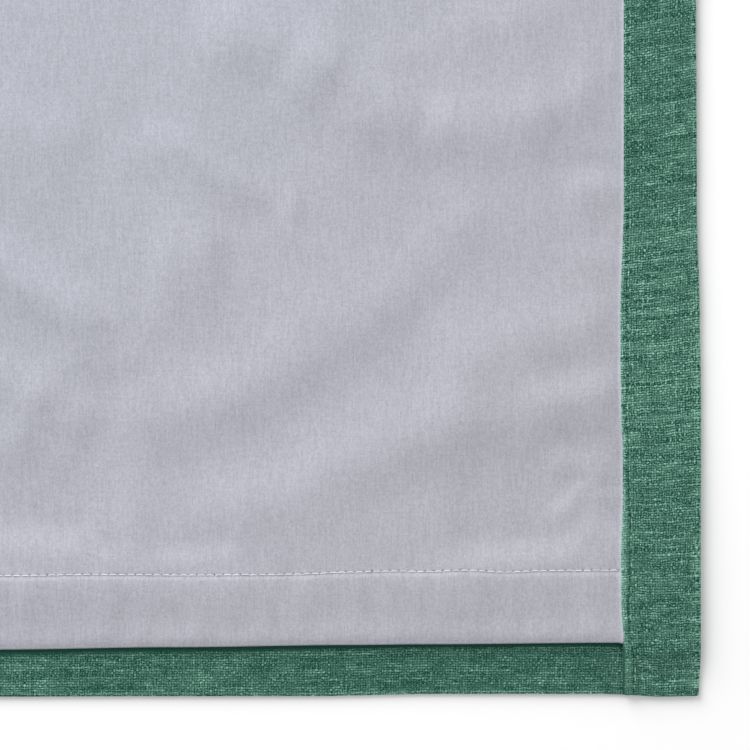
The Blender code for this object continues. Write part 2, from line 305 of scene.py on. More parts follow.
def cloth_piece(name, places, cut_places, seam_places, thickness):
    """A cloth from a flat grid: every crossing is moved to its place, then thickened."""
    groups = (places, cut_places, seam_places)
    places, cut_places, seam_places = (np.stack(group, axis=-1) for group in groups)
    rows, columns = places.shape[:2]
    flat = bmesh.new()
    bmesh.ops.create_grid(flat, x_segments=columns - 1, y_segments=rows - 1, size=1.0)
    cut = flat.loops.layers.uv.new("cut")
    seam = flat.loops.layers.uv.new("seam")
    for vert in flat.verts:
        column = round((vert.co.x + 1.0) / 2.0 * (columns - 1))
        row = round((vert.co.y + 1.0) / 2.0 * (rows - 1))
        vert.co = places[row, column]
        for loop in vert.link_loops:
            loop[cut].uv = cut_places[row, column]
            loop[seam].uv = seam_places[row, column]
    mesh = bpy.data.meshes.new(name)
    flat.to_mesh(mesh)
    flat.free()
    mesh.shade_smooth()
    piece = add_object(name, mesh)
    solid = piece.modifiers.new("thickness", "SOLIDIFY")
    solid.thickness = thickness
    solid.offset = 0.0
    return piece


def add_object(name, data):
    piece = bpy.data.objects.new(name, data)
    bpy.context.scene.collection.objects.link(piece)
    return piece


def put(tree, kind, inputs=(), **settings):
    """Adds a node with its settings, and fills its inputs with values or other outputs."""
    node = tree.nodes.new(kind)
    for name, value in settings.items():
        setattr(node, name, value)
    for key, value in dict(inputs).items():
        if isinstance(value, bpy.types.NodeSocket):
            tree.links.new(value, node.inputs[key])
        else:
            node.inputs[key].default_value = value
    return node


def maths(tree, operation, *values):
    return put(tree, "ShaderNodeMath", enumerate(values), operation=operation).outputs[0]


def times(tree, first, *others):
    """The product of two or more values."""
    for other in others:
        first = maths(tree, "MULTIPLY", first, other)
    return first


def parts(tree, vector):
    """The first two parts of a place."""
    return put(tree, "ShaderNodeSeparateXYZ", {0: vector}).outputs[:2]


def joined(tree, *numbers):
    return put(tree, "ShaderNodeCombineXYZ", enumerate(numbers)).outputs[0]


def vectors(tree, operation, inputs):
    return put(tree, "ShaderNodeVectorMath", inputs, operation=operation).outputs[0]


def patches(tree, place, scale, detail):
    """Soft noise around 0.5, in patches of one unit divided by the scale."""
    inputs = {"Vector": place, "Scale": scale, "Detail": detail}
    return put(tree, "ShaderNodeTexNoise", inputs).outputs[0]


def long_patches(tree, place, across, up, detail):
    """Soft noise in patches that have their own size across and up."""
    return patches(tree, vectors(tree, "MULTIPLY", {0: place, 1: (across, up, 1.0)}), 1.0, detail)


def mixed(tree, share, low, high, blend="MIX"):
    """A colour mix; the sockets 6 and 7 are the two colours."""
    inputs = {0: share, 6: low, 7: high}
    return put(tree, "ShaderNodeMix", inputs, data_type="RGBA", blend_type=blend).outputs[2]


def ranged(tree, value, low, high, to_low, to_high, kind="SMOOTHSTEP"):
    inputs = {0: value, 1: low, 2: high, 3: to_low, 4: to_high}
    return put(tree, "ShaderNodeMapRange", inputs, interpolation_type=kind).outputs[0]


FLOAT = "NodeSocketFloat"
VECTOR = "NodeSocketVector"


def new_group(name, inputs, outputs):
    """An empty node group; its inputs and outputs are given by name and kind."""
    group = bpy.data.node_groups.new(name, "ShaderNodeTree")
    for label, kind in inputs.items():
        group.interface.new_socket(name=label, in_out="INPUT", socket_type=kind)
    for label, kind in outputs.items():
        group.interface.new_socket(name=label, in_out="OUTPUT", socket_type=kind)
    return group, group.nodes.new("NodeGroupInput").outputs, group.nodes.new("NodeGroupOutput").inputs


def make_yarn_lay():
    """Where the yarns run: cut places in yarn widths, with yarns that waver and bunch."""
    inputs = {"Cut": VECTOR, "Pitch": FLOAT, "Waver": FLOAT}
    group, given, result = new_group("yarn lay", inputs, {"Yarns": VECTOR})
    count = maths(group, "DIVIDE", 1.0, given["Pitch"])
    yarns = vectors(group, "SCALE", {0: given["Cut"], 3: count})
    soft = {"Vector": yarns, "Scale": 0.45, "Detail": 1.5, "Roughness": 0.6}
    wander = put(group, "ShaderNodeTexNoise", soft).outputs["Color"]
    shift = vectors(group, "SUBTRACT", {0: wander, 1: (0.5, 0.5, 0.5)})
    shift = vectors(group, "SCALE", {0: shift, 3: given["Waver"]})
    group.links.new(vectors(group, "ADD", {0: yarns, 1: shift}), result["Yarns"])
    return group


# Neighbouring yarns take their streaks from places this far apart in the noise.
YARN_APART = 3.73


def make_yarn_tone():
    """The light and dark lengths of each yarn that runs in u, from 0 to 1."""
    inputs = {"Yarns": VECTOR, "Length": FLOAT}
    group, given, result = new_group("yarn tone", inputs, {"Tone": FLOAT})
    along, across = parts(group, given["Yarns"])
    along = maths(group, "DIVIDE", along, given["Length"])
    own = maths(group, "MULTIPLY", maths(group, "FLOOR", across), YARN_APART)
    streak = patches(group, joined(group, along, own), 1.0, 2.0)
    whole = joined(group, maths(group, "MULTIPLY", along, 0.18), own, 7.0)
    whole = patches(group, whole, 1.0, 1.0)
    streak = maths(group, "MULTIPLY_ADD", streak, 0.6, maths(group, "MULTIPLY", whole, 0.4))
    group.links.new(ranged(group, streak, 0.33, 0.67, 0.0, 1.0), result["Tone"])
    return group


def make_plain_weave():
    """The crowns of a plain weave: how high and light each yarn stands where it shows."""
    inputs = {"Yarns": VECTOR, "Weft Tone": FLOAT, "Warp Tone": FLOAT}
    group, given, result = new_group("plain weave", inputs, {"Crown": FLOAT})
    places = parts(group, given["Yarns"])
    column, row = (maths(group, "FLOOR", place) for place in places)
    within = [maths(group, "SUBTRACT", maths(group, "FRACT", place), 0.5) for place in places]
    from_warp, from_weft = (maths(group, "ABSOLUTE", place) for place in within)
    weft_over = maths(group, "FLOORED_MODULO", maths(group, "ADD", column, row), 2.0)
    patch = patches(group, given["Yarns"], 0.22, 1.0)
    weft_rise = times(
        group,
        round_back(group, from_weft, maths(group, "MULTIPLY_ADD", given["Weft Tone"], 0.22, 0.26)),
        maths(group, "MULTIPLY_ADD", weft_over, 0.45, 0.55),
        round_back(group, from_warp, 0.58),
        maths(group, "MULTIPLY_ADD", given["Weft Tone"], 1.05, 0.16),
        ranged(group, patch, 0.35, 0.65, 0.65, 1.35),
    )
    warp_rise = times(
        group,
        round_back(group, from_warp, maths(group, "MULTIPLY_ADD", given["Warp Tone"], 0.22, 0.24)),
        round_back(group, from_weft, 0.62),
        maths(group, "SUBTRACT", 1.0, weft_over),
        maths(group, "MULTIPLY_ADD", given["Warp Tone"], 0.55, 0.25),
        ranged(group, patch, 0.35, 0.65, 1.35, 0.65),
    )
    crossing = {"Vector": joined(group, column, row)}
    own = put(group, "ShaderNodeTexWhiteNoise", crossing, noise_dimensions="2D").outputs["Value"]
    own = maths(group, "MULTIPLY_ADD", own, 0.9, 0.55)
    group.links.new(times(group, maths(group, "MAXIMUM", weft_rise, warp_rise), own), result["Crown"])
    return group


def round_back(tree, from_middle, half):
    """1 along a yarn's back, falling to 0 at half its width."""
    share = maths(tree, "MINIMUM", maths(tree, "DIVIDE", from_middle, half), 1.0)
    return maths(tree, "SUBTRACT", 1.0, maths(tree, "MULTIPLY", share, share))


def crossed(tree, yarns):
    """The same places with u and v swapped, for the yarns that run the other way."""
    along, across = parts(tree, yarns)
    return joined(tree, across, along)


def used(tree, group, inputs):
    """The outputs of a node group in a material; links and plain values go in by name."""
    return put(tree, "ShaderNodeGroup", inputs, node_tree=group).outputs


def make_needle_marks():
    """The needle's holes along a seam, and how far the thread draws the cloth in there."""
    inputs = {"Seam": VECTOR, "Side": FLOAT}
    group, given, result = new_group("needle marks", inputs, {"Hole": FLOAT, "Draw": FLOAT})
    up, across = parts(group, given["Seam"])
    count = maths(group, "DIVIDE", up, STITCH_PITCH)
    own = put(group, "ShaderNodeTexWhiteNoise", {"W": maths(group, "FLOOR", count)}, noise_dimensions="1D")
    own = maths(group, "MULTIPLY_ADD", own.outputs["Value"], 0.50, 0.50)
    along = maths(group, "SUBTRACT", maths(group, "FRACT", count), 0.5)
    along = maths(group, "MULTIPLY", along, STITCH_PITCH)
    spot = joined(group, along, maths(group, "SUBTRACT", across, given["Side"]))
    away = put(group, "ShaderNodeVectorMath", {0: spot}, operation="LENGTH").outputs["Value"]
    group.links.new(times(group, ranged(group, away, 0.00018, 0.00046, 1.0, 0.0), own), result["Hole"])
    group.links.new(times(group, ranged(group, away, 0.00015, 0.00100, 1.0, 0.0), own), result["Draw"])
    return group


def new_finish(name, roughness):
    """A material with its node tree and its shader."""
    material = bpy.data.materials.new(name)
    material.use_nodes = True
    shader = material.node_tree.nodes["Principled BSDF"]
    shader.inputs["Roughness"].default_value = roughness
    return material, material.node_tree, shader


yarn_lay = make_yarn_lay()
yarn_tone = make_yarn_tone()
plain_weave = make_plain_weave()
needle_marks = make_needle_marks()

YARN_PITCH = 0.00102
GREEN_DEEP = (0.001, 0.046, 0.030, 1.0)
GREEN_LIGHT = (0.255, 0.515, 0.400, 1.0)


def face_cloth_finish():
    """Light crowns on a darker ground, in streaks where a yarn swells or thins."""
    material, tree, shader = new_finish("green slub cloth", 0.85)
    cut, seam = (put(tree, "ShaderNodeUVMap", uv_map=name).outputs[0] for name in ("cut", "seam"))
    waver = ranged(tree, parts(tree, cut)[1], -DROP / 2 - 0.002, -DROP / 2, 1.0, 1.4)
    yarns = used(tree, yarn_lay, {"Cut": cut, "Waver": waver, "Pitch": YARN_PITCH})[0]
    weft = used(tree, yarn_tone, {"Yarns": yarns, "Length": 9.0})[0]
    warp = used(tree, yarn_tone, {"Yarns": crossed(tree, yarns), "Length": 4.0})[0]
    crown = used(tree, plain_weave, {"Yarns": yarns, "Weft Tone": weft, "Warp Tone": warp})[0]
    mottle = long_patches(tree, cut, 55.0, 170.0, 3.0)
    mottle = ranged(tree, mottle, 0.30, 0.70, 0.72, 1.22, "LINEAR")
    fibre = long_patches(tree, cut, 1400.0, 2300.0, 2.0)
    fibre = ranged(tree, fibre, 0.25, 0.75, -0.52, 0.52, "LINEAR")
    light = maths(tree, "MULTIPLY_ADD", crown, mottle, fibre)
    felted = ranged(tree, long_patches(tree, cut, 95.0, 240.0, 2.0), 0.36, 0.58, 0.72, 1.14)
    light = maths(tree, "MULTIPLY_ADD", maths(tree, "SUBTRACT", light, 0.36), felted, 0.34)
    # Painted light and shade along the side hems' inner edges.
    light = rolled_edge_painted_shading(tree, light, seam, cut)
    marks = used(tree, needle_marks, {"Seam": seam, "Side": 0.0001})
    holes = maths(tree, "MULTIPLY_ADD", marks["Hole"], -0.6, 1.0)
    # Needle holes, painted light along the turned edges, and painted shade on the band and at different
    # heights.
    light = times(tree, light, holes, turns_painted_light(tree, cut), hem_shade(tree, cut, seam))
    light = times(tree, light, maths(tree, "MULTIPLY_ADD", light, -0.24, 1.14))
    colour = mixed(tree, ranged(tree, light, -0.04, 0.96, 0.0, 1.0, "LINEAR"), GREEN_DEEP, GREEN_LIGHT)
    tree.links.new(colour, shader.inputs["Base Color"])
    relief = {"Height": crown, "Strength": 0.5, "Distance": 0.0003}
    relief = put(tree, "ShaderNodeBump", relief).outputs[0]
    drawn = {"Height": marks["Draw"], "Strength": 0.8, "Distance": 0.0007, "Normal": relief}
    drawn = put(tree, "ShaderNodeBump", drawn, invert=True)
    tree.links.new(drawn.outputs[0], shader.inputs["Normal"])
    shader.inputs["Specular IOR Level"].default_value = 0.1
    return material


def hem_shade(tree, cut, seam):
    """Painted shade on the face cloth: how dark the band below the lining is painted, a painted contact
    shadow under the lining's edge, and the cloth painted darker at some heights up it.
    """
    cut_x, cut_up = parts(tree, cut)
    from_lining = parts(tree, seam)[0]
    # Painted shade: the band below the lining is painted much darker, the rest of the cloth a little
    # darker.
    band = ranged(tree, cut_up, -DROP / 2 - 0.0030, -DROP / 2 - 0.0022, 0.74, 0.94)
    on_band = maths(tree, "LESS_THAN", cut_up, -DROP / 2 - 0.0022)
    # Painted light on the band beside the side hem, where it lies in shade; the band is also darker towards
    # the right.
    beside = ranged(tree, cut_x, 0.394, 0.400, 0.0, 0.22)
    fewer = ranged(tree, cut_x, 0.24, 0.32, -0.02, -0.14)
    along = maths(tree, "MULTIPLY_ADD", maths(tree, "ADD", beside, fewer), on_band, 1.0)
    # Painted contact shadow just below the lining's lower edge, reaching less far down towards the right.
    reach = ranged(tree, cut_x, 0.20, 0.32, -0.0044, -0.0026)
    contact_shadow = ranged(tree, from_lining, reach, -0.0013, 0.0, 0.96)
    below_turn = maths(tree, "LESS_THAN", cut_up, -DROP / 2 - 0.0040)
    shade = maths(tree, "SUBTRACT", 1.0, times(tree, contact_shadow, below_turn))
    # Painted shade by height: darker below 70 mm and above 225 mm than between.
    low = ranged(tree, cut_up, 0.070 - DROP / 2, 0.110 - DROP / 2, 0.85, 1.0)
    high = ranged(tree, cut_up, 0.175 - DROP / 2, 0.225 - DROP / 2, 1.0, 0.84)
    return times(tree, band, along, shade, low, high)


def turns_painted_light(tree, cut):
    """How much lighter the cloth is painted along its turned edges: painted light, brightest on the outer
    rim of each side turn, which faces away from the lamp.
    """
    across, up = parts(tree, cut)
    from_side = maths(tree, "SUBTRACT", maths(tree, "ABSOLUTE", across), WIDTH / 2)
    # Painted light along each side turn, with a brighter painted highlight on its outer rim.
    side = ranged(tree, from_side, 0.0028, 0.0065, 0.40, 0.0)
    side = maths(tree, "ADD", side, ranged(tree, from_side, 0.0022, 0.0031, 1.45, 0.0))
    side = times(tree, side, maths(tree, "GREATER_THAN", from_side, 0.0))
    # Painted light along the turn of the lower edge.
    from_low = maths(tree, "SUBTRACT", -DROP / 2, up)
    low = ranged(tree, from_low, 0.0010, 0.0030, 0.45, 0.0)
    low = times(tree, low, maths(tree, "GREATER_THAN", from_low, 0.0))
    return maths(tree, "ADD", 1.0, maths(tree, "MAXIMUM", side, low))


def rolled_edge_painted_shading(tree, light, seam, cut):
    """Painted light and shade on the hem's inner edge: it is painted lighter, and fluffy near the corner;
    beside the band it is painted in deep shade, and its seam's groove is painted darker in specks.
    """
    up, across = parts(tree, seam)
    waver = maths(tree, "SUBTRACT", patches(tree, cut, 260.0, 2.0), 0.5)
    across = maths(tree, "MULTIPLY_ADD", waver, 0.0030, across)
    from_middle = maths(tree, "ABSOLUTE", parts(tree, cut)[0])
    from_edge = maths(tree, "SUBTRACT", WIDTH / 2 + HEM_SPARE + SIDE_HEM, from_middle)
    # Near the corner the roll is painted fluffy and lighter; the lightness is painted light.
    low = ranged(tree, up, 0.045, 0.075, 1.0, 0.0)
    on_roll = times(tree, low, ranged(tree, across, -0.0007, -0.0001, 1.0, 0.0))
    fluffy = maths(tree, "MULTIPLY_ADD", light, 0.88, 0.15)
    light = put(tree, "ShaderNodeMix", {0: on_roll, 2: light, 3: fluffy}).outputs[0]
    # Painted light: the roll along the inner edge is painted lighter, most of all from 36 mm to 120 mm up.
    pale = times(
        tree,
        ranged(tree, up, 0.120, 0.180, 0.92, 0.30),
        ranged(tree, up, 0.002, 0.036, 0.35, 1.0),
        maths(tree, "GREATER_THAN", up, 0.0),
        ranged(tree, from_edge, -0.0004, 0.0018, 1.0, 0.0),
    )
    lifted = maths(tree, "MULTIPLY_ADD", pale, 0.5, 1.0)
    light = maths(tree, "MULTIPLY_ADD", light, lifted, times(tree, pale, 0.10))
    # Painted shade: below the lining's edge the hem's inner edge is painted almost black, a crevice shadow
    # beside the band.
    shaded = ranged(tree, up, -0.0028, 0.0022, 0.05, 1.0)
    light = times(tree, light, ranged(tree, from_edge, 0.0002, 0.0009, shaded, 1.0))
    # Painted shade in the seam's groove, in dark specks, darkest below 140 mm up.
    specks = maths(tree, "MULTIPLY_ADD", low, 0.03, 0.40)
    fewest = maths(tree, "ADD", specks, 0.14)
    darkest = ranged(tree, up, 0.14, 0.17, 0.20, 0.84)
    deep = ranged(tree, patches(tree, cut, 700.0, 1.0), specks, fewest, darkest, 1.0)
    from_groove = maths(tree, "ABSOLUTE", maths(tree, "ADD", across, 0.0002))
    return times(tree, light, ranged(tree, from_groove, 0.0, 0.0007, deep, 1.0))


face_sheet = make_face_cloth()
face_sheet.data.materials.append(face_cloth_finish())
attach(face_sheet, "root")
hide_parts("face_cloth")

# The side seams and the heading's seam: small lock stitches of green thread, one seam in
# the groove beside the roll of each side hem and one across under the heading's edge.

# The width of the thread, how far a stitch bows down between its ends in threads, and
# how much of its pitch a green stitch covers and how far askew it lies.
THREAD = 0.00038
STITCH_BOW = 0.8
GREEN_STITCH = 0.62
GREEN_ASKEW = 0.00042


def sew(name, x, y, z, length_share, askew_by):
    """A row of stitches, each a short pillow of thread, a little askew."""
    one = bmesh.new()
    bmesh.ops.create_uvsphere(one, u_segments=6, v_segments=5, radius=0.5)
    bmesh.ops.rotate(one, verts=one.verts, matrix=Matrix.Rotation(radians(90), 3, "Y"))
    for vert in one.verts:
        vert.co.y -= STITCH_BOW * (1.0 - 4.0 * vert.co.x ** 2)
    stitch = bpy.data.meshes.new("stitch")
    one.to_mesh(stitch)
    one.free()
    row = bmesh.new()
    holes = [Vector(place) for place in zip(x, y, z)]
    for index, (start, end) in enumerate(zip(holes, holes[1:])):
        askew = askew_by * noise.noise((index * 0.7, len(x), 0.0))
        sunk = 0.5 * askew_by * noise.noise((index * 0.9, len(x), 8.0))
        place = Matrix.Translation((start + end) / 2 + Vector((askew, askew, sunk)))
        turn = (end - start).to_track_quat("X", "Z").to_matrix().to_4x4()
        length = (end - start).length * length_share * (1.0 + 0.4 * noise.noise((index * 1.3, 5.0, len(x))))
        size = Matrix.Diagonal((length, THREAD, THREAD * 0.8, 1.0))
        laid = place @ turn @ size
        stitch.transform(laid)
        row.from_mesh(stitch)
        stitch.transform(laid.inverted())
    mesh = bpy.data.meshes.new(name)
    row.to_mesh(mesh)
    row.free()
    mesh.shade_smooth()
    return add_object(name, mesh)


def thread_finish(name, dull, bright):
    """Thread in dull and bright patches, spread at random along it."""
    material, tree, shader = new_finish(name, 0.6)
    place = put(tree, "ShaderNodeTexCoord").outputs["Object"]
    depth = patches(tree, place, 230.0, 1.0)
    colour = mixed(tree, ranged(tree, depth, 0.38, 0.60, 0.0, 1.0), dull, bright)
    tree.links.new(colour, shader.inputs["Base Color"])
    return material


green_thread = thread_finish("green thread", (0.045, 0.190, 0.130, 1.0), (0.270, 0.520, 0.415, 1.0))
seam_up = np.arange(0.0035, DROP - 0.042, STITCH_PITCH) + STITCH_PITCH / 2
for side, name in ((-1, "left_seam"), (1, "right_seam")):
    seam_line = Line(side, "flap", read(HEM_PULL, seam_up, "groove") + 0.0003)
    seam_x, seam_z = side_place(seam_line, seam_up, 0.0 * seam_up)[:2]
    seam_x, seam_y = swell(seam_x, seam_up - DROP / 2)
    seam_z = seam_z + BACK + FACE_THICKNESS / 2
    side_seam = sew(name, seam_x, seam_y, seam_z, GREEN_STITCH, GREEN_ASKEW)
    side_seam.data.materials.append(green_thread)
    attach(side_seam, "root")

heading_up, heading_height, _ = lengthwise(Line(1, "flap", HEADING_SEAM))
seam_x = np.arange(-WIDTH / 2 + SIDE_HEM + 0.004, WIDTH / 2 - SIDE_HEM - 0.003, STITCH_PITCH)
seam_x, seam_y = swell(seam_x, np.full(len(seam_x), heading_up - DROP / 2))
seam_z = 0.0 * seam_x + heading_height + BACK + FACE_THICKNESS / 2
heading_seam = sew("heading_seam", seam_x, seam_y, seam_z, GREEN_STITCH, GREEN_ASKEW)
heading_seam.data.materials.append(green_thread)
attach(heading_seam, "root")

# The lining: one length of lilac-grey blackout cloth, a close smooth weave with a matt
# coating. Its lower edge is hemmed towards the face cloth. Laid down, it lies over the
# step of the two hems and in soft slanting ridges where it has slack.

LINING_THICKNESS = 0.0005
LINING_RISE = 0.020
LINING_HEM = 0.030
LINING_SEAM = 0.0280
LINING_SIDE_TUCK = 0.015
LINING_TOP_TUCK = 0.025
LINING_TOP = DROP - HEADING + LINING_TOP_TUCK

# How far the lining's hem seam lies up from its lower edge, by distance in from the right.
SeamRow = namedtuple("SeamRow", "inboard run")
SEAM_RUN = (
    SeamRow(0.000, 0.0281),
    SeamRow(0.048, 0.0280),
    SeamRow(0.064, 0.0280),
    SeamRow(0.078, 0.0276),
    SeamRow(0.094, 0.0286),
    SeamRow(0.110, 0.0281),
    SeamRow(0.126, 0.0284),
    SeamRow(0.142, 0.0281),
    SeamRow(0.160, 0.0275),
    SeamRow(0.206, 0.0278),
    SeamRow(0.254, 0.0286),
    SeamRow(0.400, 0.0280),
    SeamRow(0.560, 0.0283),
    SeamRow(0.700, 0.0276),
    SeamRow(0.864, 0.0280),
)

# The height of the lining's hem above the back of the face cloth, by distance up from
# its own lower edge, which rounds off downwards.
LevelRow = namedtuple("LevelRow", "run height")
HEM_LEVEL = (
    LevelRow(0.0000, 0.00325),
    LevelRow(0.0090, 0.00296),
    LevelRow(0.0205, 0.00340),
    LevelRow(0.0230, 0.00344),
    LevelRow(0.0285, 0.00315),
)
EDGE_DROP = 0.0008
SEAM_STEP = 0.00036

# How the lining falls above its hem, by distance in from the right side: how far up its
# length the first fall starts, how long and how high it is. The rest follows further up.
FALL_HEIGHT = 0.0020
FallRow = namedtuple("FallRow", "inboard start reach first")
LINING_FALL = (
    FallRow(0.000, 0.036, 0.018, 0.00130),
    FallRow(0.036, 0.034, 0.014, 0.00120),
    FallRow(0.044, 0.030, 0.024, 0.00075),
    FallRow(0.052, 0.031, 0.014, 0.00140),
    FallRow(0.058, 0.031, 0.012, 0.00210),
    FallRow(0.070, 0.030, 0.013, 0.00235),
    FallRow(0.090, 0.030, 0.013, 0.00215),
    FallRow(0.104, 0.029, 0.015, 0.00070),
    FallRow(0.122, 0.031, 0.030, 0.00040),
    FallRow(0.182, 0.031, 0.030, 0.00040),
    FallRow(0.191, 0.032, 0.010, 0.00130),
    FallRow(0.217, 0.031, 0.010, 0.00135),
    FallRow(0.226, 0.030, 0.016, 0.00085),
    FallRow(0.240, 0.031, 0.011, 0.00115),
    FallRow(0.250, 0.035, 0.016, 0.00215),
    FallRow(0.280, 0.036, 0.017, 0.00240),
    FallRow(0.340, 0.031, 0.030, 0.00040),
    FallRow(0.440, 0.030, 0.013, 0.00120),
    FallRow(0.560, 0.030, 0.028, 0.00075),
    FallRow(0.700, 0.036, 0.015, 0.00140),
    FallRow(0.864, 0.032, 0.024, 0.00120),
)

